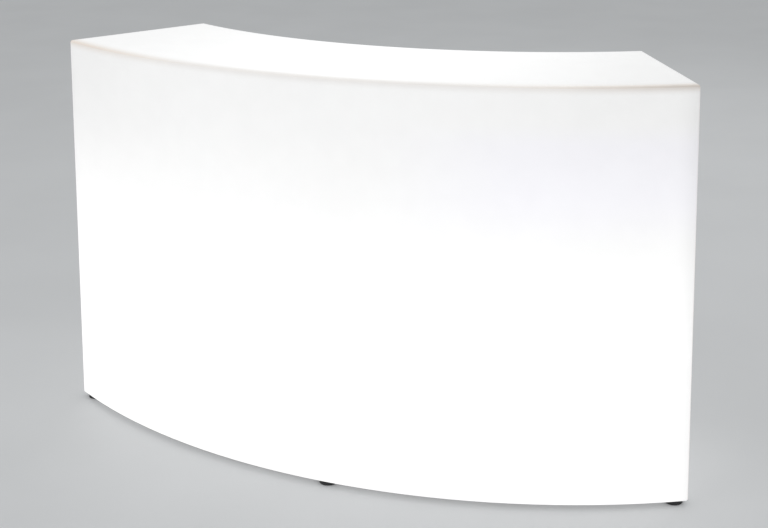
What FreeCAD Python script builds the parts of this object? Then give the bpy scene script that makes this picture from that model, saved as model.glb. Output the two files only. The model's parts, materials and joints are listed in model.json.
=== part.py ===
import FreeCAD, Part
import math
import os
import re
import Sketcher
from FreeCAD import Placement, Rotation, Vector

# An illuminated bar counter: a curved hollow shell that glows, on five levelling feet,
# with two battery light units that twist into ports in its underside.
# Millimetres and degrees, +Z up, customers stand at -Y, origin on the floor under the middle.

sizes = {
    # the curved shell
    "counter_height": 1100,
    "front_radius": 1800,
    "counter_depth": 440,
    "sweep_angle": 58,
    "draft_angle": 2,
    "wall": 5,
    "edge_radius": 7,
    # the recess under the shell, which hides the light units
    "recess_inset": 60,
    "recess_depth": 30,
    "recess_corner": 30,
    "recess_edge": 6,
    "recess_draft": 5,
    "port_share": 0.25,
    # clearances and the overrun of every cut
    "run_gap": 0.3,
    "seat_gap": 0.1,
    "slide_gap": 0.5,
    "overrun": 2,
    "trim_share": 1.2,
    # levelling feet
    "pad_radius": 24,
    "pad_height": 8,
    "pad_floor": 2.4,
    "pad_lip": 2,
    "pad_slope": 2.5,
    "disc_radius": 7,
    "stem_radius": 4.7,
    "stem_chamfer": 1,
    "thread_length": 30,
    "hex_flats": 17,
    "hex_height": 3.4,
    "insert_radius": 10,
    "insert_cap": 4,
    "boss_wall": 8,
    "foot_share": 0.5,
    # battery cells and their holder
    "cell_radius": 9.3,
    "cell_length": 65.2,
    "cell_nub_radius": 3.5,
    "cell_nub": 1,
    "cell_gap": 0.8,
    "contact_thick": 0.8,
    "contact_side": 10,
    "holder_wall": 2,
    "holder_floor": 2,
    "holder_rise_share": 0.7,
    "tab_length": 9,
    "tab_width": 12,
    "tab_thick": 2.5,
    # control board and what stands on it
    "control_width": 30,
    "control_length": 50,
    "board_thick": 1.6,
    "board_gap": 2,
    "board_margin": 4,
    "header_length": 8,
    "header_width": 5,
    "header_height": 7,
    "chip_side": 9,
    "chip_height": 1.4,
    "coil_radius": 5,
    "coil_height": 6,
    "lead_radius": 1,
    "lead_bend": 5,
    "lead_drop": 5,
    # light unit tray
    "tray_room": 18,
    "tray_wall": 4,
    "tray_floor": 4,
    "tray_rise": 36,
    "flange_reach": 13.5,
    "standoff_radius": 4,
    "standoff_height": 6,
    "boss_radius": 5.5,
    "boss_bite": 0.5,
    "grip_length": 120,
    "grip_width": 16,
    "grip_height": 14,
    "grip_edge": 3,
    # bayonet and collar
    "lug_reach": 3.9,
    "lug_height": 5,
    "lug_angle": 24,
    "lug_count": 3,
    "twist_angle": 30,
    "lip_rise": 3,
    "lip_gap_angle": 34,
    "stop_angle": 3,
    "stop_gap_angle": 0.5,
    "collar_flange": 4,
    "collar_edge": 1.2,
    "spigot_wall": 6.5,
    "spigot_rise": 16,
    "seal_thick": 1.3,
    "seal_inset": 2.5,
    "collar_screw_radius": 2.1,
    "collar_screw_length": 12,
    "collar_head_radius": 4,
    "collar_head": 2.6,
    "collar_screw_count": 6,
    # small screws
    "screw_radius": 1.5,
    "screw_length": 9,
    "screw_head_radius": 2.9,
    "screw_head": 2.2,
    "head_top_share": 0.7,
    "head_room": 2.4,
    # light board and dome
    "board_drop": 6,
    "board_clear": 3.5,
    "pillar_inset": 10.5,
    "pillar_count": 4,
    "pillar_turn": 45,
    "led_side": 5,
    "led_height": 1.6,
    "dome_flange": 3,
    "dome_rise": 28,
    "dome_wall": 2.5,
    "dome_screw_count": 6,
    "gasket_thick": 1,
    # push button and charge socket
    "fitting_room": 26.5,
    "bezel_thick": 1.5,
    "switch_bezel": 11,
    "switch_radius": 7.8,
    "switch_rise": 14,
    "button_radius": 6,
    "button_proud": 2.5,
    "button_depth": 6,
    "button_travel": 2,
    "button_crown": 0.8,
    "socket_bezel": 7.5,
    "socket_radius": 6,
    "socket_rise": 12,
    "bore_radius": 3.2,
    "bore_depth": 10,
    "pin_radius": 1,
    "pin_inset": 1.5,
    "nut_thick": 3,
    "nut_reach": 2.4,
    # hinged cap under the charge socket
    "cap_thick": 2,
    "cap_margin": 1.5,
    "cap_lip": 2,
    "cap_lip_width": 2,
    "cap_lip_share": 0.35,
    "hinge_room": 5,
    "hinge_pin_radius": 1,
    "knuckle_radius": 2.2,
    "knuckle_length": 8,
    "ear_thick": 3,
    "ear_radius": 3,
}

derived = {
    "back_radius": "front_radius - counter_depth",
    "half_sweep": "sweep_angle / 2",
    "foot_gap": "pad_height + hex_height + 2 * run_gap",
    "belly": "(counter_height - foot_gap) * tan(draft_angle)",
    "inner_edge": "max(edge_radius - wall; wall / 2)",
    # the arc centre that puts the middle of the whole outline at the origin
    "round_belly": "(counter_height - foot_gap - edge_radius) * tan(draft_angle)",
    "corner_reach": "sqrt((back_radius - round_belly + edge_radius)^2 - (round_belly - edge_radius)^2)",
    "corner_back": "corner_reach * cos(half_sweep) - (round_belly - edge_radius) * sin(half_sweep)",
    "arc_centre_y": "(front_radius + round_belly + corner_back - edge_radius) / 2",
    # the recess, its ceiling and the two ports
    "ceiling": "foot_gap + recess_depth",
    "recess_growth": "belly - recess_inset",
    "recess_taper": "tan(recess_draft)",
    "mid_radius": "(front_radius + back_radius) / 2",
    "port_angle": "sweep_angle * port_share",
    "port_x": "mid_radius * sin(port_angle)",
    "port_y": "arc_centre_y - mid_radius * cos(port_angle)",
    # levelling feet, one at each corner and one under the middle of the front
    "foot_inset": "recess_inset * foot_share",
    "foot_edge": "belly - foot_inset",
    "front_foot_radius": "front_radius + belly - foot_inset",
    "back_foot_radius": "back_radius - belly + foot_inset",
    "front_foot_run": "sqrt(front_foot_radius^2 - foot_edge^2)",
    "back_foot_run": "sqrt(back_foot_radius^2 - foot_edge^2)",
    "front_foot_x": "front_foot_run * sin(half_sweep) + foot_edge * cos(half_sweep)",
    "front_foot_y": "arc_centre_y - front_foot_run * cos(half_sweep) + foot_edge * sin(half_sweep)",
    "back_foot_x": "back_foot_run * sin(half_sweep) + foot_edge * cos(half_sweep)",
    "back_foot_y": "arc_centre_y - back_foot_run * cos(half_sweep) + foot_edge * sin(half_sweep)",
    "middle_foot_y": "arc_centre_y - front_foot_radius",
    "stem_bore": "stem_radius + run_gap",
    "insert_length": "thread_length + insert_cap",
    "disc_low": "pad_floor + run_gap",
    "disc_high": "pad_height - pad_lip - run_gap",
    "hex_low": "pad_height + run_gap",
    "hex_high": "hex_low + hex_height",
    # battery holder and control board, which set how wide the tray is
    "cell_pitch": "2 * cell_radius + cell_gap",
    "holder_half": "cell_length / 2 + contact_thick + 2 * seat_gap + holder_wall",
    "holder_side": "cell_pitch / 2 + cell_radius + cell_gap / 2 + holder_wall",
    "holder_height": "holder_floor + 2 * cell_radius * holder_rise_share",
    "tab_reach": "holder_half + tab_length",
    "control_in": "tab_reach + board_gap",
    "control_out": "control_in + control_width",
    "tray_inner": "control_out + tray_room",
    "tray_radius": "tray_inner + tray_wall",
    "flange_radius": "tray_radius + flange_reach",
    "boss_circle": "tray_inner + boss_bite - boss_radius",
    "light_radius": "boss_circle - boss_radius - board_clear",
    "pillar_circle": "light_radius - pillar_inset",
    # levels of the light unit, upwards from the recess ceiling
    "flange_level": "ceiling - collar_flange - run_gap - seal_thick",
    "floor_low": "flange_level - tray_floor",
    "rim_level": "flange_level + tray_rise",
    "light_level": "rim_level - board_drop",
    "light_top": "light_level + board_thick",
    "standoff_level": "flange_level + standoff_height",
    "dome_level": "rim_level + gasket_thick",
    "dome_top": "dome_level + dome_flange",
    "control_top": "standoff_level + board_thick",
    # bayonet and collar
    "lip_radius": "tray_radius + slide_gap",
    "spigot_inner": "tray_radius + lug_reach + slide_gap",
    "spigot_outer": "spigot_inner + spigot_wall",
    "port_radius": "spigot_outer + slide_gap",
    "collar_low": "ceiling - collar_flange",
    "lug_low": "ceiling + lip_rise + run_gap",
    "lug_high": "lug_low + lug_height",
    "spigot_top": "ceiling + wall + spigot_rise",
    "lip_angle": "360 / lug_count - lip_gap_angle",
    "lip_turn": "180 / lug_count - twist_angle",
    "stop_turn": "lug_angle / 2 + stop_gap_angle + stop_angle / 2",
    "screw_circle": "max(flange_radius; port_radius) + collar_head_radius + slide_gap",
    "collar_radius": "screw_circle + collar_head_radius + 2 * collar_edge",
    # fittings in the tray floor
    "fitting_offset": "holder_side + fitting_room",
    "bezel_face": "floor_low - bezel_thick",
    "button_low": "bezel_face - button_proud",
    "button_high": "bezel_face + button_depth",
    "switch_bore": "button_high + button_travel + run_gap",
    "switch_top": "flange_level + switch_rise",
    "socket_top": "flange_level + socket_rise",
    # hinged cap
    "cap_high": "bezel_face - run_gap",
    "cap_low": "cap_high - cap_thick",
    "cap_radius": "socket_bezel + cap_margin",
    "hinge_y": "fitting_offset + cap_radius + hinge_room",
    "hinge_z": "cap_high - cap_thick / 2",
    "ear_start": "knuckle_length / 2 + run_gap",
    "dome_base": "boss_circle - screw_head_radius - head_room",
}

doc = FreeCAD.newDocument("IlluminatedCounter")
sheet = doc.addObject("Spreadsheet::Sheet", "Sizes")
names = set(sizes) | set(derived)
nodes = []


def fill_sheet():
    rows = [(name, str(value)) for name, value in sizes.items()]
    rows += [(name, "=" + text) for name, text in derived.items()]
    for row, (name, text) in enumerate(rows, 1):
        sheet.set("A%d" % row, name)
        sheet.set("B%d" % row, text)
        sheet.setAlias("B%d" % row, name)
    doc.recompute()


# Write a formula in sheet names as an expression that other objects can read.
def bind(text):
    return re.sub(r"[a-z_]\w*", lambda word: ("Sizes." if word[0] in names else "") + word[0], text)


# The present value of a formula in sheet names.
def measure(text):
    return float(sheet.evalExpression(bind(text)))


def bind_all(item, **settings):
    for key, text in settings.items():
        item.setExpression(key.replace("__", "."), bind(text))


# Sketches: every corner is held by its two distances from the sketch origin.

def origin_item(body, role):
    return [item for item in body.Origin.OriginFeatures if item.Role == role][0]


def new_sketch(body, role, lift, turn):
    item = body.newObject("Sketcher::SketchObject", "Outline")
    item.AttachmentSupport = [(origin_item(body, role), "")]
    item.MapMode = "FlatFace"
    if turn:
        item.AttachmentOffset = Placement(Vector(), Rotation(Vector(0, 1, 0), measure(turn)))
        bind_all(item, AttachmentOffset__Rotation__Angle=turn)
    if lift:
        bind_all(item, AttachmentOffset__Base__z=lift)
    return item


def pin(item, edge, end, x, y=None):
    for kind, text in (("DistanceX", x), ("DistanceY", y)):
        if text is not None:
            held = Sketcher.Constraint(kind, -1, 1, edge, end, measure(text))
            bind_all(item, **{"Constraints[%d]" % item.addConstraint(held): text})


# The arc between two points whose centre has the given x, drawn anticlockwise,
# and whether that runs from the first point to the second.
def arc_between(start, end, centre_x):
    level = (end.x - centre_x) ** 2 + end.y ** 2 - (start.x - centre_x) ** 2 - start.y ** 2
    centre = Vector(centre_x, level / (2 * (end.y - start.y)), 0)
    middle = (start + end) / 2 - centre
    crown = centre + middle / middle.Length * (start - centre).Length
    forward = (start - centre).cross(end - centre).z > 0
    return Part.Arc(start, crown, end) if forward else Part.Arc(end, crown, start), forward


# A closed outline. A third value in a point makes the edge that leaves it an arc, and is its centre's x.
def outline(body, role, points, lift=None, turn=None):
    item = new_sketch(body, role, lift, turn)
    spots = [Vector(measure(point[0]), measure(point[1]), 0) for point in points]
    starts = []
    for point, spot, after in zip(points, spots, spots[1:] + spots[:1]):
        edge, forward = Part.LineSegment(spot, after), True
        if len(point) > 2:
            edge, forward = arc_between(spot, after, measure(point[2]))
        item.addGeometry(edge)
        starts.append(1 if forward else 2)
    for edge, point in enumerate(points):
        after = (edge + 1) % len(points)
        item.addConstraint(Sketcher.Constraint("Coincident", edge, 3 - starts[edge], after, starts[after]))
        pin(item, edge, starts[edge], point[0], point[1])
        if len(point) > 2:
            pin(item, edge, 3, point[2])
    return item


def circles(body, role, places, radius, lift=None):
    item = new_sketch(body, role, lift, None)
    for edge, (x, y) in enumerate(places):
        item.addGeometry(Part.Circle(Vector(measure(x), measure(y), 0), Vector(0, 0, 1), measure(radius)))
        pin(item, edge, 3, x, y)
        held = item.addConstraint(Sketcher.Constraint("Radius", edge, measure(radius)))
        bind_all(item, **{"Constraints[%d]" % held: radius})
    return item


def rectangle(left, right, low, high):
    return [(left, low), (right, low), (right, high), (left, high)]


# A hexagon by its distance across flats, around a point.
def hexagon(flats, x="0", y="0"):
    reach = "(%s) / sqrt(3)" % flats
    return [("%s + %s * cos(%d)" % (x, reach, turn), "%s + %s * sin(%d)" % (y, reach, turn))
            for turn in range(0, 360, 60)]


# Features of a body.

def new_body(label):
    return doc.addObject("PartDesign::Body", label)


def revolve(body, profile, angle="360"):
    item = body.newObject("PartDesign::Revolution", "Revolve")
    item.Profile = profile
    item.ReferenceAxis = (profile, ["V_Axis"])
    item.Midplane = True
    bind_all(item, Angle=angle)
    doc.recompute()
    return item


def pad(body, profile, length, down=False, both_ways=False):
    item = body.newObject("PartDesign::Pad", "Pad")
    item.Profile = profile
    item.Reversed = down
    item.Midplane = both_ways
    bind_all(item, Length=length)
    doc.recompute()
    return item


# A cut into the body. It goes against the sketch's normal unless it is turned to go along it.
def pocket(body, profile, length, along=False, both_ways=False):
    before = body.Shape.Volume
    item = body.newObject("PartDesign::Pocket", "Pocket")
    item.Profile = profile
    item.Reversed = along
    item.Midplane = both_ways
    bind_all(item, Length=length)
    doc.recompute()
    if not item.Shape.Volume < before:
        raise RuntimeError("a cut in %s removes nothing" % body.Label)
    return item


def around(body, feature, count):
    item = body.newObject("PartDesign::PolarPattern", "Around")
    item.Originals = [feature]
    item.Axis = (origin_item(body, "Z_Axis"), [""])
    item.Angle = 360
    bind_all(item, Occurrences=count)
    body.Tip = item
    doc.recompute()
    return item


def mirror(body, feature, role):
    item = body.newObject("PartDesign::Mirrored", "Mirror")
    item.Originals = [feature]
    item.MirrorPlane = (origin_item(body, role), [""])
    body.Tip = item
    doc.recompute()
    return item


# Round the edges of a body that pass a test, or all of them.
def round_edges(body, radius, test=None):
    base = body.Tip
    item = body.newObject("PartDesign::Fillet", "Round")
    if test:
        picked = ["Edge%d" % at for at, edge in enumerate(base.Shape.Edges, 1) if test(edge)]
        item.Base = (base, picked)
    else:
        item.Base = (base, [""])
        item.UseAllEdges = True
    bind_all(item, Radius=radius)
    body.Tip = item
    doc.recompute()
    return item


def revolved(label, points):
    body = new_body(label)
    revolve(body, outline(body, "XZ_Plane", points))
    return body


def cylinder(label, radius, height, x, y, z):
    item = doc.addObject("Part::Cylinder", label)
    bind_all(item, Radius=radius, Height=height)
    bind_all(item, Placement__Base__x=x, Placement__Base__y=y, Placement__Base__z=z)
    return item


def boolean(kind, label, base, tool):
    item = doc.addObject("Part::" + kind, label)
    item.Base = base
    item.Tool = tool
    doc.recompute()
    return item


def gathered(label, items):
    item = doc.addObject("Part::Compound", label)
    item.Links = items
    doc.recompute()
    return item


# One node made of copies of a solid at several places.
def copies(label, solid, places):
    item = doc.addObject("Part::Feature", label)
    item.Shape = Part.Compound([solid.translated(place) for place in places])
    return item


def keep(item):
    nodes.append(item)
    return item


# The shell.

# A block of the counter's ring between two levels, trimmed by a leaning plane at each end.
# Its growth, at the low and the high level, is how far it stands out from the counter's top outline.
def sector(label, low, high, low_growth, high_growth, lean):
    body = new_body(label)
    section = [
        ("back_radius - (%s)" % low_growth, low),
        ("front_radius + (%s)" % low_growth, low),
        ("front_radius + (%s)" % high_growth, high),
        ("back_radius - (%s)" % high_growth, high),
    ]
    revolve(body, outline(body, "XZ_Plane", section), "sweep_angle * trim_share")
    beyond_end = [
        ("%s - overrun * tan(%s)" % (high_growth, lean), high + " + overrun"),
        ("%s + overrun * tan(%s)" % (low_growth, lean), low + " - overrun"),
        ("front_radius", low + " - overrun"),
        ("front_radius", high + " + overrun"),
    ]
    end = outline(body, "YZ_Plane", beyond_end, turn="half_sweep")
    trim = pocket(body, end, "2 * front_radius", along=True)
    mirror(body, trim, "XZ_Plane")
    body.Placement = Placement(Vector(), Rotation(Vector(0, 0, 1), -90))
    bind_all(body, Placement__Base__y="arc_centre_y")
    return body


# A sector with rounded upright corners and a rounded ceiling, for the recess and the wall around it.
def recess_block(label, low, high, low_growth, high_growth, corner, edge):
    body = sector(label, low, high, low_growth, high_growth, "recess_draft")
    tall = measure("recess_depth") / 2
    near = measure("seat_gap")
    level = measure(high)
    round_edges(body, corner, lambda line: abs(line.Vertexes[0].Z - line.Vertexes[-1].Z) > tall)
    round_edges(body, edge, lambda line: all(abs(end.Z - level) < near for end in line.Vertexes))
    return body


# The edges where the recess opens through the underside.
def rim_edges(shape):
    level = measure("foot_gap")
    near = measure("seat_gap")
    flat = [face for face in shape.Faces if abs(face.CenterOfMass.z - level) < near]
    sole = [face for face in flat if len(face.Wires) > 1][0]
    rim = min(sole.Wires, key=lambda wire: wire.Length).Edges
    return [at for at, edge in enumerate(shape.Edges, 1) if any(edge.isSame(other) for other in rim)]


def hollow_blank():
    outside = sector("shell_outside", "foot_gap", "counter_height", "belly", "0", "draft_angle")
    round_edges(outside, "edge_radius")
    inside = sector("shell_inside", "foot_gap + wall", "counter_height - wall",
                    "belly - wall * tan(draft_angle) - wall", "wall * tan(draft_angle) - wall", "draft_angle")
    round_edges(inside, "inner_edge")
    recess = recess_block("recess", "foot_gap - overrun", "ceiling",
                          "recess_growth + overrun * recess_taper",
                          "recess_growth - recess_depth * recess_taper", "recess_corner", "recess_edge")
    jacket = recess_block("recess_jacket", "foot_gap", "ceiling + wall", "recess_growth + wall",
                          "recess_growth + wall - (recess_depth + wall) * recess_taper",
                          "recess_corner + wall", "recess_edge + wall")
    moulded = boolean("Cut", "moulded_outside", outside, recess)
    rounded = doc.addObject("Part::Fillet", "rounded_outside")
    rounded.Base = moulded
    edge = measure("recess_edge")
    rounded.Edges = [(at, edge, edge) for at in rim_edges(moulded.Shape)]
    hollow = boolean("Cut", "hollow", inside, jacket)
    return boolean("Cut", "shell_blank", rounded, hollow)


feet = {
    "front_left": ("-front_foot_x", "front_foot_y"),
    "front_middle": ("0", "middle_foot_y"),
    "front_right": ("front_foot_x", "front_foot_y"),
    "back_left": ("-back_foot_x", "back_foot_y"),
    "back_right": ("back_foot_x", "back_foot_y"),
}
sides = {"left": -1, "right": 1}


# A place in a light unit's own frame, as formulas in the counter's frame.
def port_place(side, x="0", y="0"):
    sign = sides[side]
    return ("%d * port_x + (%s) * cos(port_angle) - %d * (%s) * sin(port_angle)" % (sign, x, sign, y),
            "port_y + %d * (%s) * sin(port_angle) + (%s) * cos(port_angle)" % (sign, x, y))


def place_at_port(item, side, x="0", y="0"):
    item.Placement = Placement(Vector(), Rotation(Vector(0, 0, sides[side]), measure("port_angle")))
    east, north = port_place(side, x, y)
    bind_all(item, Placement__Rotation__Angle="port_angle", Placement__Base__x=east, Placement__Base__y=north)
    return keep(item)


# Points evenly spaced round a circle, as formulas.
def ring_places(radius, count, first="0"):
    turns = ["%s + %d * 360 / %s" % (first, at, count) for at in range(round(measure(count)))]
    return [("%s * cos(%s)" % (radius, turn), "%s * sin(%s)" % (radius, turn)) for turn in turns]


def collar_screw_places():
    ring = ring_places("screw_circle", "collar_screw_count")
    return [port_place(side, x, y) for side in sides for x, y in ring]


def make_shell():
    blank = hollow_blank()
    bosses = [cylinder("boss_" + name, "insert_radius + boss_wall", "insert_length + boss_wall - wall / 2",
                       x, y, "foot_gap + wall / 2") for name, (x, y) in feet.items()]
    stout = boolean("Fuse", "shell_with_bosses", blank, gathered("bosses", bosses))
    holes = [cylinder("insert_hole_" + name, "insert_radius + seat_gap", "insert_length + seat_gap + overrun",
                      x, y, "foot_gap - overrun") for name, (x, y) in feet.items()]
    for side in sides:
        x, y = port_place(side)
        holes.append(cylinder("port_" + side, "port_radius", "wall + 2 * overrun", x, y, "ceiling - overrun"))
    for x, y in collar_screw_places():
        holes.append(cylinder("screw_hole", "collar_screw_radius + seat_gap", "wall + 2 * overrun",
                              x, y, "ceiling - overrun"))
    keep(boolean("Cut", "shell", stout, gathered("shell_holes", holes)))


# Levelling feet.

def make_feet():
    insert = revolved("insert_pattern", [
        ("stem_bore", "foot_gap"),
        ("insert_radius", "foot_gap"),
        ("insert_radius", "foot_gap + insert_length"),
        ("0", "foot_gap + insert_length"),
        ("0", "foot_gap + thread_length + insert_cap / 2"),
        ("stem_bore", "foot_gap + thread_length + insert_cap / 2"),
    ])
    keep(copies("foot_inserts", insert.Shape, [Vector(measure(x), measure(y), 0) for x, y in feet.values()]))
    for name, (x, y) in feet.items():
        sole = revolved("foot_pad_" + name, [
            ("0", "0"),
            ("pad_radius - pad_slope / 2", "0"),
            ("pad_radius", "pad_slope / 2"),
            ("pad_radius", "pad_height - pad_slope"),
            ("pad_radius - pad_slope", "pad_height"),
            ("stem_bore + run_gap", "pad_height"),
            ("stem_bore + run_gap", "pad_height - pad_lip"),
            ("disc_radius + run_gap", "pad_height - pad_lip"),
            ("disc_radius + run_gap", "pad_floor"),
            ("0", "pad_floor"),
        ])
        stem = revolved("foot_stem_" + name, [
            ("0", "disc_low"),
            ("disc_radius", "disc_low"),
            ("disc_radius", "disc_high"),
            ("stem_radius", "disc_high"),
            ("stem_radius", "hex_high + thread_length - stem_chamfer"),
            ("stem_radius - stem_chamfer", "hex_high + thread_length"),
            ("0", "hex_high + thread_length"),
        ])
        pad(stem, outline(stem, "XY_Plane", hexagon("hex_flats"), lift="hex_low"), "hex_height")
        for item in (sole, stem):
            bind_all(item, Placement__Base__x=x, Placement__Base__y=y)
            keep(item)


# Bayonet collars, screwed into the ports.

def make_collar(side):
    body = revolved("collar_" + side, [
        ("spigot_inner", "collar_low"),
        ("collar_radius", "collar_low"),
        ("collar_radius", "ceiling"),
        ("spigot_outer", "ceiling"),
        ("spigot_outer", "spigot_top"),
        ("spigot_inner", "spigot_top"),
    ])
    root = "spigot_inner + spigot_wall / 2"
    lip = rectangle("lip_radius", root, "collar_low", "ceiling + lip_rise")
    around(body, revolve(body, outline(body, "XZ_Plane", lip, turn="lip_turn"), "lip_angle"), "lug_count")
    stop = rectangle("lip_radius", root, "ceiling", "lug_high")
    around(body, revolve(body, outline(body, "XZ_Plane", stop, turn="stop_turn"), "stop_angle"), "lug_count")
    hole = circles(body, "XY_Plane", [("screw_circle", "0")], "collar_screw_radius + seat_gap",
                   "ceiling + overrun")
    around(body, pocket(body, hole, "collar_flange + 2 * overrun"), "collar_screw_count")
    outer = measure("collar_radius")
    low = measure("collar_low")
    near = measure("seat_gap")
    round_edges(body, "collar_edge", lambda line: abs(line.BoundBox.XLength - 2 * outer) < near
                and abs(line.BoundBox.ZMax - low) < near)
    return place_at_port(body, side)


def make_collar_screws():
    screw = revolved("collar_screw_pattern", [
        ("0", "collar_low - collar_head"),
        ("collar_head_radius * head_top_share", "collar_low - collar_head"),
        ("collar_head_radius", "collar_low - collar_head / 2"),
        ("collar_head_radius", "collar_low"),
        ("collar_screw_radius", "collar_low"),
        ("collar_screw_radius", "collar_low + collar_screw_length"),
        ("0", "collar_low + collar_screw_length"),
    ])
    places = [Vector(measure(x), measure(y), 0) for x, y in collar_screw_places()]
    keep(copies("collar_screws", screw.Shape, places))


# The tray of a light unit: a cup with a flange, bayonet lugs, screw bosses, a grip and hinge ears.

def screw_places():
    tab = "tab_reach - tab_length / 2"
    edge = "control_out - board_margin"
    side = "control_length / 2 - board_margin"
    return [(tab, "0"), ("-(%s)" % tab, "0")], [(edge, side), (edge, "-(%s)" % side)]


def make_tray(side):
    body = revolved("tray_" + side, [
        ("0", "floor_low"),
        ("flange_radius", "floor_low"),
        ("flange_radius", "flange_level"),
        ("tray_radius", "flange_level"),
        ("tray_radius", "rim_level"),
        ("tray_inner", "rim_level"),
        ("tray_inner", "flange_level"),
        ("0", "flange_level"),
    ])
    lug = rectangle("tray_inner + tray_wall / 2", "tray_radius + lug_reach", "lug_low", "lug_high")
    around(body, revolve(body, outline(body, "XZ_Plane", lug), "lug_angle"), "lug_count")
    hole = "screw_radius + seat_gap"
    boss = [("boss_circle", "0")]
    around(body, pad(body, circles(body, "XY_Plane", boss, "boss_radius", "flange_level"), "tray_rise"),
           "dome_screw_count")
    around(body, pocket(body, circles(body, "XY_Plane", boss, hole, "rim_level"), "screw_length"),
           "dome_screw_count")
    pillar = ring_places("pillar_circle", "pillar_count", "pillar_turn")[:1]
    around(body, pad(body, circles(body, "XY_Plane", pillar, "standoff_radius", "flange_level"),
                     "tray_rise - board_drop"), "pillar_count")
    around(body, pocket(body, circles(body, "XY_Plane", pillar, hole, "light_level"), "screw_length"),
           "pillar_count")
    tabs, corners = screw_places()
    pad(body, circles(body, "XY_Plane", tabs + corners, "standoff_radius", "flange_level"), "standoff_height")
    pocket(body, circles(body, "XY_Plane", tabs + corners, hole, "standoff_level"),
           "screw_length - board_thick + seat_gap")
    grip = rectangle("-grip_length / 2", "grip_length / 2", "-grip_width / 2", "grip_width / 2")
    pad(body, outline(body, "XY_Plane", grip, lift="floor_low"), "grip_height", down=True)
    level = measure("floor_low - seat_gap")
    round_edges(body, "grip_edge", lambda line: line.BoundBox.ZMin < level)
    ear = [
        ("-hinge_y - ear_radius", "floor_low"),
        ("-hinge_y - ear_radius", "hinge_z", "-hinge_y"),
        ("-hinge_y", "hinge_z - ear_radius", "-hinge_y"),
        ("-hinge_y + ear_radius", "hinge_z"),
        ("-hinge_y + ear_radius", "floor_low"),
    ]
    mirror(body, pad(body, outline(body, "YZ_Plane", ear, lift="ear_start"), "ear_thick"), "YZ_Plane")
    pocket(body, circles(body, "YZ_Plane", [("-hinge_y", "hinge_z")], "hinge_pin_radius + seat_gap"),
           "2 * (ear_start + ear_thick + overrun)", both_ways=True)
    for radius, y in (("switch_radius", "fitting_offset"), ("socket_radius", "-fitting_offset")):
        pocket(body, circles(body, "XY_Plane", [("0", y)], radius + " + seat_gap", "flange_level + overrun"),
               "tray_floor + 2 * overrun")
    return place_at_port(body, side)


# Seals and the dome over the light board.

def make_dome(side):
    seal = rectangle("tray_radius + seal_inset", "flange_radius - seal_inset", "flange_level",
                     "flange_level + seal_thick")
    place_at_port(revolved("tray_seal_" + side, seal), side)
    dome = revolved("dome_" + side, [
        ("dome_base - dome_wall", "dome_level"),
        ("tray_radius", "dome_level"),
        ("tray_radius", "dome_top"),
        ("dome_base", "dome_top", "0"),
        ("0", "dome_top + dome_rise"),
        ("0", "dome_top + dome_rise - dome_wall", "0"),
    ])
    gasket = revolved("dome_gasket_" + side,
                      rectangle("boss_circle - boss_radius", "tray_radius", "rim_level", "dome_level"))
    for body, top, thick in ((dome, "dome_top", "dome_flange"), (gasket, "dome_level", "gasket_thick")):
        hole = circles(body, "XY_Plane", [("boss_circle", "0")], "screw_radius + seat_gap",
                       top + " + overrun")
        around(body, pocket(body, hole, thick + " + 2 * overrun"), "dome_screw_count")
        place_at_port(body, side)


# The light board with its chips in three rings.

light_ring_shares = ((0.28, 6), (0.52, 12), (0.76, 18))


def make_light_board(side):
    body = new_body("led_board_" + side)
    pad(body, circles(body, "XY_Plane", [("0", "0")], "light_radius", "light_level"), "board_thick")
    hole = circles(body, "XY_Plane", ring_places("pillar_circle", "pillar_count", "pillar_turn")[:1],
                   "screw_radius + seat_gap", "light_top + overrun")
    around(body, pocket(body, hole, "board_thick + 2 * overrun"), "pillar_count")
    place_at_port(body, side)
    half = measure("led_side") / 2
    chip = Part.makeBox(2 * half, 2 * half, measure("led_height"), Vector(-half, -half, measure("light_top")))
    places = []
    for share, count in light_ring_shares:
        reach = Vector(measure("light_radius") * share, 0, 0)
        places += [Rotation(Vector(0, 0, 1), 360 * at / count).multVec(reach) for at in range(count)]
    place_at_port(copies("led_chips_" + side, chip, places), side)


# The battery: an open holder with screw tabs, two cells and the contacts at their ends.

def make_battery(side):
    body = new_body("battery_holder_" + side)
    box = rectangle("-holder_half", "holder_half", "-holder_side", "holder_side")
    pad(body, outline(body, "XY_Plane", box, lift="flange_level"), "holder_height")
    room = rectangle("holder_wall - holder_half", "holder_half - holder_wall",
                     "holder_wall - holder_side", "holder_side - holder_wall")
    pocket(body, outline(body, "XY_Plane", room, lift="flange_level + holder_height"),
           "holder_height - holder_floor")
    tab = rectangle("holder_half - holder_wall / 2", "tab_reach", "-tab_width / 2", "tab_width / 2")
    mirror(body, pad(body, outline(body, "XY_Plane", tab, lift="standoff_level"), "tab_thick"), "YZ_Plane")
    pocket(body, circles(body, "XY_Plane", screw_places()[0], "screw_radius + seat_gap",
                         "standoff_level + tab_thick + overrun"), "tab_thick + 2 * overrun")
    place_at_port(body, side)
    along = Vector(1, 0, 0)
    end = measure("cell_length / 2")
    nub = measure("cell_nub")
    bed = measure("flange_level + holder_floor + seat_gap")
    can = Part.makeCylinder(measure("cell_radius"), 2 * end - nub, Vector(-end, 0, 0), along)
    cell = can.fuse(Part.makeCylinder(measure("cell_nub_radius"), nub, Vector(end - nub, 0, 0), along))
    pitch = measure("cell_pitch / 2")
    axis_level = bed + measure("cell_radius")
    beds = [Vector(0, pitch, axis_level), Vector(0, -pitch, axis_level)]
    place_at_port(copies("battery_cells_" + side, cell, beds), side)
    thick = measure("contact_thick")
    wide = measure("contact_side")
    plate = Part.makeBox(thick, wide, axis_level + wide / 2 - bed, Vector(-thick / 2, -wide / 2, bed))
    reach = end + measure("seat_gap") + thick / 2
    spots = [Vector(x, y, 0) for x in (-reach, reach) for y in (-pitch, pitch)]
    place_at_port(copies("battery_contacts_" + side, plate, spots), side)


# The control board. What stands on it is placed by shares of its width and length.

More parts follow.
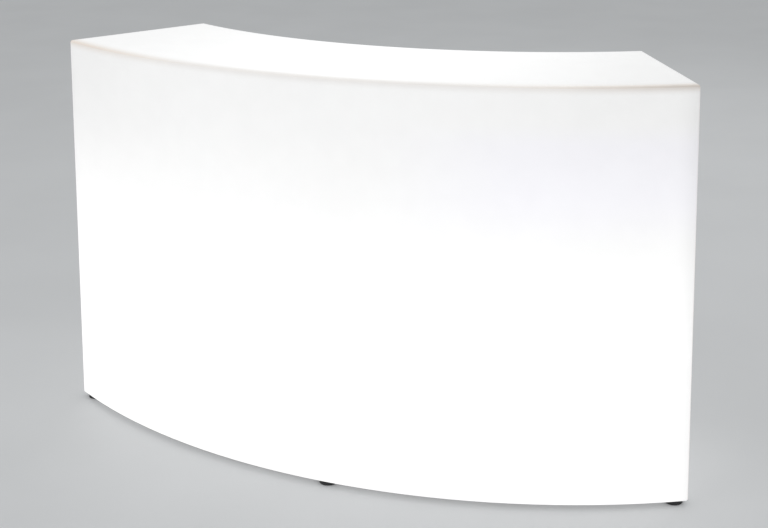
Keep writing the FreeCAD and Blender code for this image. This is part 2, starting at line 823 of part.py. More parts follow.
header_shares = {"battery": (0.15, 0.5), "light": (0.5, 0.5), "switch": (0.25, 0.85), "socket": (0.25, 0.15)}
chip_shares = (0.75, 0.62)
coil_shares = (0.75, 0.36)


def control_spot(shares, level="control_top"):
    across, along = shares
    x = measure("control_in") + measure("control_width") * across
    y = measure("control_length") * along - measure("control_length / 2")
    return Vector(x, y, measure(level))


def block(length, width, height, base):
    return Part.makeBox(length, width, height, base - Vector(length / 2, width / 2, 0))


def make_control_board(side):
    body = new_body("control_board_" + side)
    plate = rectangle("control_in", "control_out", "-control_length / 2", "control_length / 2")
    pad(body, outline(body, "XY_Plane", plate, lift="standoff_level"), "board_thick")
    holes = circles(body, "XY_Plane", screw_places()[1], "screw_radius + seat_gap", "control_top + overrun")
    pocket(body, holes, "board_thick + 2 * overrun")
    place_at_port(body, side)
    header = [measure(size) for size in ("header_width", "header_length", "header_height")]
    solids = [block(*header, control_spot(spot)) for spot in header_shares.values()]
    chip = measure("chip_side")
    solids.append(block(chip, chip, measure("chip_height"), control_spot(chip_shares)))
    coil = measure("coil_radius"), measure("coil_height")
    solids.append(Part.makeCylinder(*coil, control_spot(coil_shares)))
    item = doc.addObject("Part::Feature", "board_parts_" + side)
    item.Shape = Part.Compound(solids)
    place_at_port(item, side)


# A lead that rises from one face, bends over, runs level and bends down to another face.
bend_limit_share = 1 / 3


def bent_lead(start, end, level):
    flat = Vector(end.x - start.x, end.y - start.y, 0)
    bend = min(measure("lead_bend"), flat.Length * bend_limit_share, level - start.z, level - end.z)
    along = flat / flat.Length * bend
    up = Vector(0, 0, bend)
    corners = [Vector(start.x, start.y, level), Vector(end.x, end.y, level)]
    slack = 1 - math.cos(math.pi / 4)
    rise = Part.Arc(corners[0] - up, corners[0] + (along - up) * slack, corners[0] + along)
    fall = Part.Arc(corners[1] - along, corners[1] - (along + up) * slack, corners[1] - up)
    runs = [
        Part.LineSegment(start, corners[0] - up),
        rise,
        Part.LineSegment(corners[0] + along, corners[1] - along),
        fall,
        Part.LineSegment(corners[1] - up, end),
    ]
    path = Part.Wire([run.toShape() for run in runs])
    section = Part.Wire([Part.Circle(start, Vector(0, 0, 1), measure("lead_radius")).toShape()])
    return path.makePipeShell([section], True, False)


def make_leads(side):
    level = measure("light_level - lead_drop")
    tops = {name: control_spot(spot, "control_top + header_height") for name, spot in header_shares.items()}
    starts = {
        "battery": Vector(measure("holder_half - holder_wall / 2"), 0,
                          measure("flange_level + holder_height")),
        "switch": Vector(0, measure("fitting_offset"), measure("switch_top")),
        "socket": Vector(0, -measure("fitting_offset"), measure("socket_top")),
    }
    solids = [bent_lead(start, tops[name], level) for name, start in starts.items()]
    foot = tops["light"]
    solids.append(Part.makeCylinder(measure("lead_radius"), measure("light_level") - foot.z, foot))
    item = doc.addObject("Part::Feature", "lamp_leads_" + side)
    item.Shape = Part.Compound(solids)
    place_at_port(item, side)


# One small screw serves the boards, the holder and the dome.

def make_small_screws(side):
    screw = revolved("screw_pattern_" + side, [
        ("0", "-screw_length"),
        ("screw_radius", "-screw_length"),
        ("screw_radius", "0"),
        ("screw_head_radius", "0"),
        ("screw_head_radius", "screw_head / 2"),
        ("screw_head_radius * head_top_share", "screw_head"),
        ("0", "screw_head"),
    ])
    tabs, corners = screw_places()
    seats = {
        "tray_screws_": [(ring_places("pillar_circle", "pillar_count", "pillar_turn"), "light_top"),
                         (tabs, "standoff_level + tab_thick"), (corners, "control_top")],
        "dome_screws_": [(ring_places("boss_circle", "dome_screw_count"), "dome_top")],
    }
    for name, groups in seats.items():
        places = [Vector(measure(x), measure(y), measure(level)) for spots, level in groups for x, y in spots]
        place_at_port(copies(name + side, screw.Shape, places), side)


# Push button, charge socket and the nuts that hold them in the tray floor.

def make_nut(label, radius):
    body = new_body(label)
    flats = hexagon("2 * (%s + nut_reach)" % radius)
    pad(body, outline(body, "XY_Plane", flats, lift="flange_level"), "nut_thick")
    pocket(body, circles(body, "XY_Plane", [("0", "0")], radius + " + seat_gap",
                         "flange_level + nut_thick + overrun"), "nut_thick + 2 * overrun")
    return body


def make_fittings(side):
    switch = revolved("switch_body_" + side, [
        ("button_radius + run_gap", "bezel_face"),
        ("switch_bezel", "bezel_face"),
        ("switch_bezel", "floor_low"),
        ("switch_radius", "floor_low"),
        ("switch_radius", "switch_top"),
        ("0", "switch_top"),
        ("0", "switch_bore"),
        ("button_radius + run_gap", "switch_bore"),
    ])
    button = revolved("power_button_" + side, [
        ("0", "button_low", "0"),
        ("button_radius", "button_low + button_crown"),
        ("button_radius", "button_high"),
        ("0", "button_high"),
    ])
    for body in (switch, button, make_nut("switch_nut_" + side, "switch_radius")):
        place_at_port(body, side, y="fitting_offset")
    socket = revolved("charge_socket_" + side, [
        ("0", "bezel_face + pin_inset"),
        ("pin_radius", "bezel_face + pin_inset"),
        ("pin_radius", "bezel_face + bore_depth"),
        ("bore_radius", "bezel_face + bore_depth"),
        ("bore_radius", "bezel_face"),
        ("socket_bezel", "bezel_face"),
        ("socket_bezel", "floor_low"),
        ("socket_radius", "floor_low"),
        ("socket_radius", "socket_top"),
        ("0", "socket_top"),
    ])
    for body in (socket, make_nut("socket_nut_" + side, "socket_radius")):
        place_at_port(body, side, y="-fitting_offset")


# The cap that swings down from the charge socket, and its hinge pin.

def make_cap(side):
    body = new_body("socket_cap_" + side)
    pad(body, circles(body, "XY_Plane", [("0", "-fitting_offset")], "cap_radius", "cap_low"), "cap_thick")
    tongue = rectangle("-knuckle_length / 2", "knuckle_length / 2", "-hinge_y", "-fitting_offset")
    pad(body, outline(body, "XY_Plane", tongue, lift="cap_low"), "cap_thick")
    side_reach = "cap_radius * cap_lip_share"
    far = "cap_radius - fitting_offset - cap_lip_width / 2"
    lip = rectangle("-" + side_reach, side_reach, far + " - cap_lip_width", far)
    pad(body, outline(body, "XY_Plane", lip, lift="cap_low"), "cap_lip", down=True)
    hinge = [("-hinge_y", "hinge_z")]
    pad(body, circles(body, "YZ_Plane", hinge, "knuckle_radius"), "knuckle_length", both_ways=True)
    pocket(body, circles(body, "YZ_Plane", hinge, "hinge_pin_radius + run_gap"),
           "knuckle_length + 2 * overrun", both_ways=True)
    place_at_port(body, side)
    pivot = new_body("cap_pin_" + side)
    pad(pivot, circles(pivot, "YZ_Plane", hinge, "hinge_pin_radius"), "2 * (ear_start + ear_thick)",
        both_ways=True)
    place_at_port(pivot, side)


# Build every piece, check it and write it out.

def check_and_write():
    doc.recompute()
    for item in doc.Objects:
        if "Invalid" in item.State or "Error" in item.State:
            raise RuntimeError("%s failed: %s" % (item.Label, item.State))
    for item in nodes:
        if item.Shape.isNull() or not item.Shape.isValid() or not item.Shape.Solids:
            raise RuntimeError("%s has no valid solid" % item.Label)
    os.makedirs("parts", exist_ok=True)
    for item in nodes:
        item.Shape.exportStep("parts/%s.step" % item.Label)
        print(item.Label, len(item.Shape.Solids), round(item.Shape.Volume))


fill_sheet()
make_shell()
make_feet()
make_collar_screws()
for lamp_side in sides:
    make_collar(lamp_side)
    make_tray(lamp_side)
    make_dome(lamp_side)
    make_light_board(lamp_side)
    make_battery(lamp_side)
    make_control_board(lamp_side)
    make_leads(lamp_side)
    make_small_screws(lamp_side)
    make_fittings(lamp_side)
    make_cap(lamp_side)
check_and_write()
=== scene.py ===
import json
import math
import bmesh
import bpy
from mathutils import Matrix, Vector

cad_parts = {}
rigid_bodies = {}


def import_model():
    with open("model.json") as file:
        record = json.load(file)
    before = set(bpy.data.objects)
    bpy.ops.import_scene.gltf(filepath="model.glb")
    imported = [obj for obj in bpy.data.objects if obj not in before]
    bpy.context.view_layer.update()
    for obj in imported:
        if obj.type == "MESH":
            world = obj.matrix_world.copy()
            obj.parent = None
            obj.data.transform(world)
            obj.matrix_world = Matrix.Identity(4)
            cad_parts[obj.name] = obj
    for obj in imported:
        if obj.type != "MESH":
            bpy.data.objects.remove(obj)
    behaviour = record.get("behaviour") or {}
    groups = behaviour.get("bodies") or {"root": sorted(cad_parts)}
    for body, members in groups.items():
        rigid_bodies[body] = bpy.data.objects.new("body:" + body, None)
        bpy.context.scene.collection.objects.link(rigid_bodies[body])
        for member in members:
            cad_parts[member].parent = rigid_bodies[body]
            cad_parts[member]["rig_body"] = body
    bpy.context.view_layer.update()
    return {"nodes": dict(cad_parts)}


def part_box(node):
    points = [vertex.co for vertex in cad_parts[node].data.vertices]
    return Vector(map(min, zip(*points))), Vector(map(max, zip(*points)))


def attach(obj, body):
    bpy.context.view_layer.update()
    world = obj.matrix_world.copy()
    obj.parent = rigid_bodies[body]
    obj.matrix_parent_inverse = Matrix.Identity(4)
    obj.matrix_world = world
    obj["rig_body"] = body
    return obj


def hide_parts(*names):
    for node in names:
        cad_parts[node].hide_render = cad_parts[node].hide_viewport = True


# A curved bar counter that glows from inside, standing on five screw feet.
# Metres, +Z up, customers stand at -Y. Small turned pieces are drawn in millimetres.

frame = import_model()
nodes = frame["nodes"]
mm = 0.001
hair = mm / 100  # points closer than this count as one
sides = ("left", "right")
footNames = ("front_left", "front_middle", "front_right", "back_left", "back_right")
print("frame loaded:", len(nodes), "nodes")


def middleOf(node):  # the middle of a node's box
    low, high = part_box(node)
    return (low + high) / 2


def portOf(side):  # where a light unit sits, and how far it is turned about Z
    centre = middleOf("tray_seal_" + side)
    towards = middleOf("power_button_" + side) - centre
    return Vector((centre.x, centre.y, 0)), math.atan2(-towards.x, towards.y)


ports = {side: portOf(side) for side in sides}
portTurns = {side: Matrix.Rotation(ports[side][1], 4, "Z") for side in sides}
portCentre, portTurn = ports["right"]
arcCentreY = portCentre.y + portCentre.x / math.tan(portTurn)  # the counter is bent about this line
shellLow, counterTop = (corner.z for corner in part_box("shell"))
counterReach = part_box("shell")[1].x


# Shader nodes

noiseMiddle = (0.3, 0.7)  # the part of a noise that shows as tone
grainMiddle = (0.25, 0.75)  # the part that shows as gloss
fineDetail = 2.0


def tone(red, green, blue):  # a colour as it shows on a screen, 0 to 255
    shares = [part / 255 for part in (red, green, blue)]
    return [s / 12.92 if s <= 0.04045 else ((s + 0.055) / 1.055) ** 2.4 for s in shares] + [1]


def plug(tree, value, socket):  # a link, or a plain value
    if isinstance(value, bpy.types.NodeSocket):
        tree.links.new(value, socket)
    else:
        socket.default_value = value


def addNode(tree, kind, inputs, **settings):
    node = tree.nodes.new("ShaderNode" + kind)
    for key, value in settings.items():
        setattr(node, key, value)
    for key, value in inputs.items():
        plug(tree, value, node.inputs[key])
    return node


def calc(tree, operation, first, second=0.0):
    return addNode(tree, "Math", {0: first, 1: second}, operation=operation).outputs[0]


def vectorCalc(tree, operation, first, second=(0, 0, 0)):
    return addNode(tree, "VectorMath", {0: first, 1: second}, operation=operation)


def mapRange(tree, value, low, high, start, end, kind="LINEAR"):
    names = ("Value", "From Min", "From Max", "To Min", "To Max")
    inputs = dict(zip(names, (value, low, high, start, end)))
    return addNode(tree, "MapRange", inputs, interpolation_type=kind).outputs["Result"]


def ease(tree, value, low, high, start=0.0, end=1.0):  # a soft step from start to end
    return mapRange(tree, value, low, high, start, end, "SMOOTHSTEP")


def mixValue(tree, factor, first, second):
    return addNode(tree, "Mix", {0: factor, 2: first, 3: second}).outputs[0]


def mixTone(tree, factor, first, second, blend="MIX"):
    settings = {"data_type": "RGBA", "blend_type": blend}
    return addNode(tree, "Mix", {0: factor, 6: first, 7: second}, **settings).outputs[2]


def cloud(tree, place, size, detail=3.0):  # noise whose lumps are about size across
    inputs = {"Vector": place, "Scale": 1 / size, "Detail": detail}
    return addNode(tree, "TexNoise", inputs).outputs[0]


def newFinish(name):
    material = bpy.data.materials.new(name)
    material.use_nodes = True
    tree = material.node_tree
    place = tree.nodes.new("ShaderNodeTexCoord")
    return material, tree, tree.nodes["Principled BSDF"], place


def roughen(tree, shader, height, depth):  # relief of the given depth in metres
    bump = addNode(tree, "Bump", {"Height": height, "Strength": 1.0, "Distance": depth})
    plug(tree, bump.outputs["Normal"], shader.inputs["Normal"])


# A finish with cloudy tone, fine grain in its gloss and relief from the same grain
def grained(name, look):
    material, tree, shader, place = newFinish(name)
    stretch = look.get("stretch", (1, 1, 1))
    spot = vectorCalc(tree, "MULTIPLY", place.outputs["Object"], stretch).outputs[0]
    lumps = cloud(tree, spot, look["lump"])
    grain = cloud(tree, spot, look["grain"], fineDetail)
    middle, spread = tone(*look["tone"])[:3], look["spread"]
    dark = [part * (1 - spread) for part in middle] + [1]
    light = [min(part * (1 + spread), 1) for part in middle] + [1]
    colour = mixTone(tree, ease(tree, lumps, *noiseMiddle), dark, light)
    plug(tree, colour, shader.inputs["Base Color"])
    plug(tree, ease(tree, grain, *grainMiddle, *look["gloss"]), shader.inputs["Roughness"])
    shader.inputs["Metallic"].default_value = look.get("metal", 0.0)
    shader.inputs["Coat Weight"].default_value = look.get("coat", 0.0)
    roughen(tree, shader, grain, look["depth"])
    return material, tree, shader, place


# Mesh helpers

# A turned solid from rows of (height, radius), the first and the last on the axis.
# A radius may change with the angle.
def turned(rows, segments):
    points, rings, faces, bands = [], [], [], []
    for height, radius in rows:
        ring = []
        for at in range(1 if radius == 0 else segments):
            angle = 2 * math.pi * at / segments
            reach = radius(angle) if callable(radius) else radius
            ring.append(len(points))
            points.append(Vector((reach * math.cos(angle), reach * math.sin(angle), height)))
        rings.append(ring)
    for band, (low, high) in enumerate(zip(rings, rings[1:])):
        for at in range(segments):
            after = (at + 1) % segments
            around = ((low, at), (low, after), (high, after), (high, at))
            corners = list(dict.fromkeys(ring[spot % len(ring)] for ring, spot in around))
            if len(corners) > 2:
                faces.append(corners)
                bands.append(band)
    return points, faces, bands


def hexReach(flats, limit=math.inf):  # a hexagon, its corners cut to a limit
    sixth = math.pi / 3
    return lambda angle: min(flats / 2 / math.cos(angle % sixth - sixth / 2), limit)


def crossReach(arm, width):  # a cross-shaped drive
    tiny = 1e-6

    def reach(angle):
        across, along = abs(math.cos(angle)) + tiny, abs(math.sin(angle)) + tiny
        return max(min(arm / across, width / along), min(arm / along, width / across))
    return reach


def oblongReach(across, along, corner):  # a rectangle, its corners crisper for a higher corner
    def reach(angle):
        first, second = abs(math.cos(angle)) / across, abs(math.sin(angle)) / along
        return (first ** corner + second ** corner) ** (-1 / corner)
    return reach


def squareReach(half, corner):
    return oblongReach(half, half, corner)


def solidsOf(node):  # the box of each separate solid in a node
    mesh = bmesh.new()
    mesh.from_mesh(nodes[node].data)
    bmesh.ops.remove_doubles(mesh, verts=mesh.verts, dist=hair)
    left, boxes = set(mesh.verts), []
    while left:
        waiting = [left.pop()]
        places = []
        while waiting:
            point = waiting.pop()
            places.append(point.co)
            near = {edge.other_vert(point) for edge in point.link_edges} & left
            waiting += near
            left -= near
        low = Vector([min(place[axis] for place in places) for axis in range(3)])
        high = Vector([max(place[axis] for place in places) for axis in range(3)])
        boxes.append((low, high))
    mesh.free()
    return sorted(boxes, key=lambda box: tuple(round(part, 4) for part in box[0]))  # a fixed order


def standOn(box, upper=False):  # the middle of a box's underside, or of its top
    low, high = box
    level = high.z if upper else low.z
    return Matrix.Translation(((low.x + high.x) / 2, (low.y + high.y) / 2, level))


def firstFinish(band):
    return 0


# Make one piece from copies of patterns in millimetres, and let it stand for a node.
# A group is a pattern, the places of its copies, and what picks the finish of each band.
def standIn(name, groups, node, finishList, sharp=35):
    allPoints, allFaces, picked = [], [], []
    for (points, faces, bands), places, pick in groups:
        for place in places:
            first = len(allPoints)
            allPoints += [place @ (point * mm) for point in points]
            allFaces += [[first + corner for corner in face] for face in faces]
            picked += [pick(band) for band in bands]
    mesh = bpy.data.meshes.new(name)
    mesh.from_pydata(allPoints, [], allFaces)
    for finish in finishList:
        mesh.materials.append(finishes[finish])
    mesh.polygons.foreach_set("material_index", picked)
    mesh.shade_smooth()
    mesh.set_sharp_from_angle(angle=math.radians(sharp))
    piece = bpy.data.objects.new(name, mesh)
    bpy.context.scene.collection.objects.link(piece)
    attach(piece, nodes[node]["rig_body"])
    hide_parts(node)


def dress(node, finish):  # give a node that keeps its shape its finish
    mesh = nodes[node].data
    mesh.materials.clear()
    mesh.materials.append(finish)


# The glowing shell: milky plastic, brightest low down where the light units are

shellLook = {
    "plastic": tone(225, 224, 223),
    "glow": 0.66,  # strength of the light that comes through where it is brightest
    "fade": (0.38, 1.08),  # heights between which the walls grow dimmer
    "wallShares": (0.60, 0.68, 0.63),  # glow left high on the walls: left end, middle, right end
    "topShares": (0.58, 0.77, 0.41),  # glow of the counter top, likewise
    "edgeShares": (0.36, 0.46, 0.08),  # glow of the thick rounded top edge, likewise
    "edgeWarmth": (1.0, 0.3, 0.9),  # how much of the warm tone of its light that edge has, likewise; the same tone is painted into the plastic's colour
    "edgeTone": tone(255, 244, 234),
    "wallBleed": (0.62, 20 * mm),  # share of the edge's tone that runs on below it, and how far
    "topBleed": (0.85, 38 * mm),  # the same behind the front edge of the counter top
    "bleedPower": 2.2,
    "endDim": (0.05, 0.0, 0.20),  # glow lost at the upright corners: left, middle, right
    "endReach": 60 * mm,
    "coolTone": (0.985, 0.975, 1.055, 1),  # shares of red, green and blue
    "coolShares": (0.0, 0.0, 1.0),  # how much of the cool tone the walls have, likewise
    "coolStart": (80 * mm, 150 * mm),  # below the top, where the cool tone begins
    "coolEnd": (420 * mm, 250 * mm),  # and where it ends again
    "edgeRound": 7 * mm,  # radius of the shell's rounded edges
    "sweep": math.radians(58),  # the angle that the counter is bent through
    "wallRamp": (0.35, 0.95),  # from middle to end, in shares of the counter's reach
    "topRamp": (0.0, 0.95),
    "edgeRamp": (0.5, 1.06),
    "coolRamp": (0.1, 0.6),
    "underShare": 0.46,  # glow of the underside, which the light units turn their backs to
    "cornerTone": tone(252, 244, 242),
    "mottle": 0.012,  # how uneven the light is, and the size of its patches
    "mottleSize": 0.16,
    "shade": (0.97, 1.0),  # tones of the plastic, and the size of its patches
    "shadeSize": 0.05,
    "peelSize": 2.6 * mm,  # faint orange peel of the moulded face
    "peelDepth": 0.05 * mm,
    "gloss": (0.36, 0.46),
}
shellFacing = {  # where a face turns into the next, by how far it looks up or along the bend
    "top": (0.75, 0.998), "topEdge": (0.0, 0.4), "under": (-0.4, -0.97), "recess": (-0.04, -0.08),
    "upright": (0.2, 0.6), "wall": (0.05, 0.5), "cornerStart": (0.08, 0.35),
    "cornerEnd": (0.75, 0.98),
}


# How far the flat top reaches to the front, and where the end walls stand at their foot and top
def shellRims():
    half = shellLook["sweep"] / 2
    topReach, topEnd, lowEnd = [], [], []
    for point in (corner.co for corner in nodes["shell"].data.vertices):
        toFront = arcCentreY - point.y
        towardsEnd = abs(point.x) * math.cos(half) - toFront * math.sin(half)
        if point.z > counterTop - hair:
            topReach.append(math.hypot(point.x, toFront))
            topEnd.append(towardsEnd)
        elif point.z < shellLow + hair:
            lowEnd.append(towardsEnd)
    return max(topReach), max(lowEnd), max(topEnd)


def alongCounter(tree, axes, key, ramp):  # from the left end over the middle to the right end
    left, middle, right = shellLook[key]
    start, end = (share * counterReach for share in shellLook[ramp])
    leftEnd, rightEnd = ease(tree, axes["X"], -start, -end), ease(tree, axes["X"], start, end)
    return mixValue(tree, rightEnd, mixValue(tree, leftEnd, middle, left), right)


def fading(tree, distance, share, reach):  # a share that falls off with the distance from an edge
    near = mapRange(tree, distance, 0.0, reach, 1.0, 0.0)
    return calc(tree, "MULTIPLY", calc(tree, "POWER", near, shellLook["bleedPower"]), share)


# Which part of the shell a point is on, and how far it is from the edges
def shellZones(tree, place, axes):
    frontRim, lowEnd, topEnd = shellRims()
    facing = place.outputs["Normal"]
    upward = addNode(tree, "SeparateXYZ", {0: facing}).outputs["Z"]
    fromCentre = vectorCalc(tree, "SUBTRACT", place.outputs["Object"], (0, arcCentreY, 0))
    level = vectorCalc(tree, "MULTIPLY", fromCentre.outputs[0], (1, 1, 0)).outputs[0]
    outward = vectorCalc(tree, "NORMALIZE", level).outputs[0]
    alignment = vectorCalc(tree, "DOT_PRODUCT", facing, outward).outputs["Value"]
    across = calc(tree, "ABSOLUTE", alignment)

    half = shellLook["sweep"] / 2
    endFacing = (math.cos(half), -math.sin(half), 0)
    unsigned = vectorCalc(tree, "ABSOLUTE", level).outputs[0]
    towardsEnd = vectorCalc(tree, "DOT_PRODUCT", unsigned, endFacing).outputs["Value"]
    endAt = mapRange(tree, axes["Z"], shellLow, counterTop, lowEnd, topEnd)
    radius = vectorCalc(tree, "LENGTH", level).outputs["Value"]
    toRim = calc(tree, "SUBTRACT", frontRim, radius)
    belowEdge = calc(tree, "SUBTRACT", counterTop - shellLook["edgeRound"], axes["Z"])

    top = ease(tree, upward, *shellFacing["top"])
    topEdge = ease(tree, upward, *shellFacing["topEdge"])
    onWall = calc(tree, "MAXIMUM", topEdge, fading(tree, belowEdge, *shellLook["wallBleed"]))
    recessLow = shellLow + shellLook["edgeRound"]
    inRecess = calc(tree, "MULTIPLY", ease(tree, upward, *shellFacing["recess"]),
                    ease(tree, axes["Z"], recessLow, recessLow + mm))
    corner = calc(tree, "MULTIPLY", ease(tree, across, *shellFacing["cornerStart"]),
                  ease(tree, across, *shellFacing["cornerEnd"], 1.0, 0.0))
    upright = ease(tree, calc(tree, "ABSOLUTE", upward), *shellFacing["upright"], 1.0, 0.0)
    return {
        "top": top,
        "edge": mixValue(tree, top, onWall, fading(tree, toRim, *shellLook["topBleed"])),
        "under": calc(tree, "MAXIMUM", ease(tree, upward, *shellFacing["under"]), inRecess),
        "corner": calc(tree, "MULTIPLY", corner, upright),
        "wall": ease(tree, across, *shellFacing["wall"]),
        "toEnd": calc(tree, "SUBTRACT", endAt, towardsEnd),
    }


def shellGlow(tree, axes, zones):  # how much light comes through
    dimmer = ease(tree, axes["Z"], *shellLook["fade"])
    wall = mixValue(tree, dimmer, 1.0, alongCounter(tree, axes, "wallShares", "wallRamp"))
    endLoss = alongCounter(tree, axes, "endDim", "wallRamp")
    endLoss = fading(tree, zones["toEnd"], endLoss, shellLook["endReach"])
    endLoss = calc(tree, "MULTIPLY", endLoss, zones["wall"])
    wall = calc(tree, "MULTIPLY", wall, calc(tree, "SUBTRACT", 1.0, endLoss))
    glow = mixValue(tree, zones["top"], wall, alongCounter(tree, axes, "topShares", "topRamp"))
    edge = alongCounter(tree, axes, "edgeShares", "edgeRamp")
    glow = mixValue(tree, zones["edge"], glow, edge)
    return mixValue(tree, zones["under"], glow, shellLook["underShare"])


def shellFinish():
    look = shellLook
    material, tree, shader, place = newFinish("glowingShell")
    spot = place.outputs["Object"]
    axes = addNode(tree, "SeparateXYZ", {0: spot}).outputs
    zones = shellZones(tree, place, axes)
    glow = shellGlow(tree, axes, zones)
    levels = (1 - look["mottle"], 1 + look["mottle"])
    mottle = ease(tree, cloud(tree, spot, look["mottleSize"]), *noiseMiddle, *levels)

    # the light is cooler on the right, warmer through the thick edge and the upright corners
    coolBand = [[counterTop - drop for drop in look[key]] for key in ("coolStart", "coolEnd")]
    coolness = calc(tree, "MULTIPLY", *(ease(tree, axes["Z"], *heights) for heights in coolBand))
    coolSide = alongCounter(tree, axes, "coolShares", "coolRamp")
    coolness = calc(tree, "MULTIPLY", coolness, coolSide)
    warmSide = alongCounter(tree, axes, "edgeWarmth", "wallRamp")
    warmth = calc(tree, "MULTIPLY", zones["edge"], warmSide)
    colour = mixTone(tree, coolness, (1, 1, 1, 1), look["coolTone"])
    colour = mixTone(tree, warmth, colour, look["edgeTone"])
    colour = mixTone(tree, zones["corner"], colour, look["cornerTone"], "MULTIPLY")
    light = vectorCalc(tree, "SCALE", colour)
    plug(tree, calc(tree, "MULTIPLY", glow, mottle), light.inputs["Scale"])
    plug(tree, light.outputs[0], shader.inputs["Emission Color"])
    shader.inputs["Emission Strength"].default_value = look["glow"]

    # the plastic itself, with the warm tone of the light through the thick edge painted into its
    # colour there
    thin = look["plastic"]
    # painted glow: the edge's warm light tone multiplied into the plastic's colour, along the top
    # edge and a little below and behind it
    paintedWarmEdge = [part * warm for part, warm in zip(thin, look["edgeTone"])]
    shade = vectorCalc(tree, "SCALE", mixTone(tree, warmth, thin, paintedWarmEdge))
    patches = ease(tree, cloud(tree, spot, look["shadeSize"]), *noiseMiddle, *look["shade"])
    plug(tree, patches, shade.inputs["Scale"])
    plug(tree, shade.outputs[0], shader.inputs["Base Color"])
    peel = cloud(tree, spot, look["peelSize"], fineDetail)
    plug(tree, ease(tree, peel, *noiseMiddle, *look["gloss"]), shader.inputs["Roughness"])
    roughen(tree, shader, peel, look["peelDepth"])
    return material


dress("shell", shellFinish())
print("shell dressed")


# Finishes of the pieces under and inside the shell

plainLooks = {
    "footRubber": {"tone": (54, 54, 55), "spread": 0.12, "lump": 6 * mm, "grain": 0.7 * mm,
                   "gloss": (0.72, 0.92), "depth": 0.04 * mm},
    "zincPlate": {"tone": (196, 197, 194), "spread": 0.08, "lump": 5 * mm, "grain": 0.5 * mm,
                  "gloss": (0.22, 0.42), "depth": 0.008 * mm, "metal": 1.0, "stretch": (1, 1, 4)},
    "screwSteel": {"tone": (178, 179, 181), "spread": 0.07, "lump": 3 * mm, "grain": 0.4 * mm,
                   "gloss": (0.24, 0.4), "depth": 0.006 * mm, "metal": 1.0},
    "insertBrass": {"tone": (205, 171, 104), "spread": 0.1, "lump": 4 * mm, "grain": 0.9 * mm,
                    "gloss": (0.25, 0.45), "depth": 0.03 * mm, "metal": 1.0,
                    "stretch": (1, 1, 0.3)},
    "nickelPlate": {"tone": (203, 202, 196), "spread": 0.06, "lump": 3 * mm, "grain": 0.6 * mm,
                    "gloss": (0.16, 0.32), "depth": 0.005 * mm, "metal": 1.0},
    "coilCopper": {"tone": (196, 112, 70), "spread": 0.08, "lump": 2 * mm, "grain": 0.4 * mm,
                   "gloss": (0.2, 0.34), "depth": 0.006 * mm, "metal": 1.0},
    "collarPlastic": {"tone": (224, 224, 222), "spread": 0.05, "lump": 18 * mm, "grain": 0.8 * mm,
                      "gloss": (0.42, 0.58), "depth": 0.03 * mm},
    "trayPlastic": {"tone": (196, 198, 200), "spread": 0.04, "lump": 24 * mm, "grain": 0.6 * mm,
                    "gloss": (0.5, 0.7), "depth": 0.05 * mm},
    "fittingPlastic": {"tone": (38, 38, 40), "spread": 0.1, "lump": 8 * mm, "grain": 0.9 * mm,
                       "gloss": (0.2, 0.36), "depth": 0.01 * mm, "coat": 0.2},
    "holderPlastic": {"tone": (42, 42, 43), "spread": 0.1, "lump": 10 * mm, "grain": 0.5 * mm,
                      "gloss": (0.45, 0.62), "depth": 0.03 * mm},
    "buttonPlastic": {"tone": (208, 208, 206), "spread": 0.04, "lump": 5 * mm, "grain": 0.5 * mm,
                      "gloss": (0.3, 0.44), "depth": 0.012 * mm},
    "capRubber": {"tone": (70, 70, 72), "spread": 0.12, "lump": 5 * mm, "grain": 0.5 * mm,
                  "gloss": (0.62, 0.82), "depth": 0.03 * mm},
    "leadCover": {"tone": (168, 46, 40), "spread": 0.1, "lump": 9 * mm, "grain": 0.8 * mm,
                  "gloss": (0.34, 0.5), "depth": 0.01 * mm},
    "cellWrap": {"tone": (66, 120, 178), "spread": 0.08, "lump": 20 * mm, "grain": 3 * mm,
                 "gloss": (0.16, 0.3), "depth": 0.03 * mm, "coat": 0.4, "stretch": (0.2, 1, 1)},
    "chipCase": {"tone": (240, 240, 236), "spread": 0.03, "lump": 2 * mm, "grain": 0.3 * mm,
                 "gloss": (0.3, 0.45), "depth": 0.004 * mm},
}
litLooks = {
    "ledPhosphor": {"tone": (244, 206, 92), "spread": 0.08, "lump": 1.2 * mm, "grain": 0.2 * mm,
                    "gloss": (0.2, 0.35), "depth": 0.004 * mm, "glow": 1.4},
    "domeDiffuser": {"tone": (238, 240, 242), "spread": 0.03, "lump": 30 * mm, "grain": 1.2 * mm,
                     "gloss": (0.3, 0.42), "depth": 0.02 * mm, "glow": 0.7},
}


def litFinish(name, look):  # a finish whose cloudy tone also gives off light
    material, tree, shader = grained(name, look)[:3]
    colour = shader.inputs["Base Color"].links[0].from_socket
    plug(tree, colour, shader.inputs["Emission Color"])
    shader.inputs["Emission Strength"].default_value = look["glow"]
    return material


finishes = {name: grained(name, look)[0] for name, look in plainLooks.items()}
finishes.update({name: litFinish(name, look) for name, look in litLooks.items()})


# Circuit boards: solder mask with tracks that show as slightly raised, lighter lines

boardLooks = {
    "led_board_": {"name": "lightBoard", "tone": (236, 238, 235), "spread": 0.02, "lump": 12 * mm,
                   "grain": 0.8 * mm, "gloss": (0.3, 0.42), "depth": 0.01 * mm,
                   "track": tone(214, 216, 210), "pitch": 9 * mm,
                   "pattern": {"wave_type": "RINGS", "rings_direction": "Z"}},
    "control_board_": {"name": "controlBoard", "tone": (30, 104, 66), "spread": 0.08,
                       "lump": 8 * mm, "grain": 0.8 * mm, "gloss": (0.22, 0.36),
                       "depth": 0.01 * mm, "track": tone(64, 142, 92), "pitch": 2.4 * mm,
                       "pattern": {"bands_direction": "X"}},
}
trackLook = {"edge": (0.72, 0.82), "wander": 0.6, "detail": 1.0, "rise": 0.04 * mm}
waveLength = 0.314  # of the wave texture at a scale of one


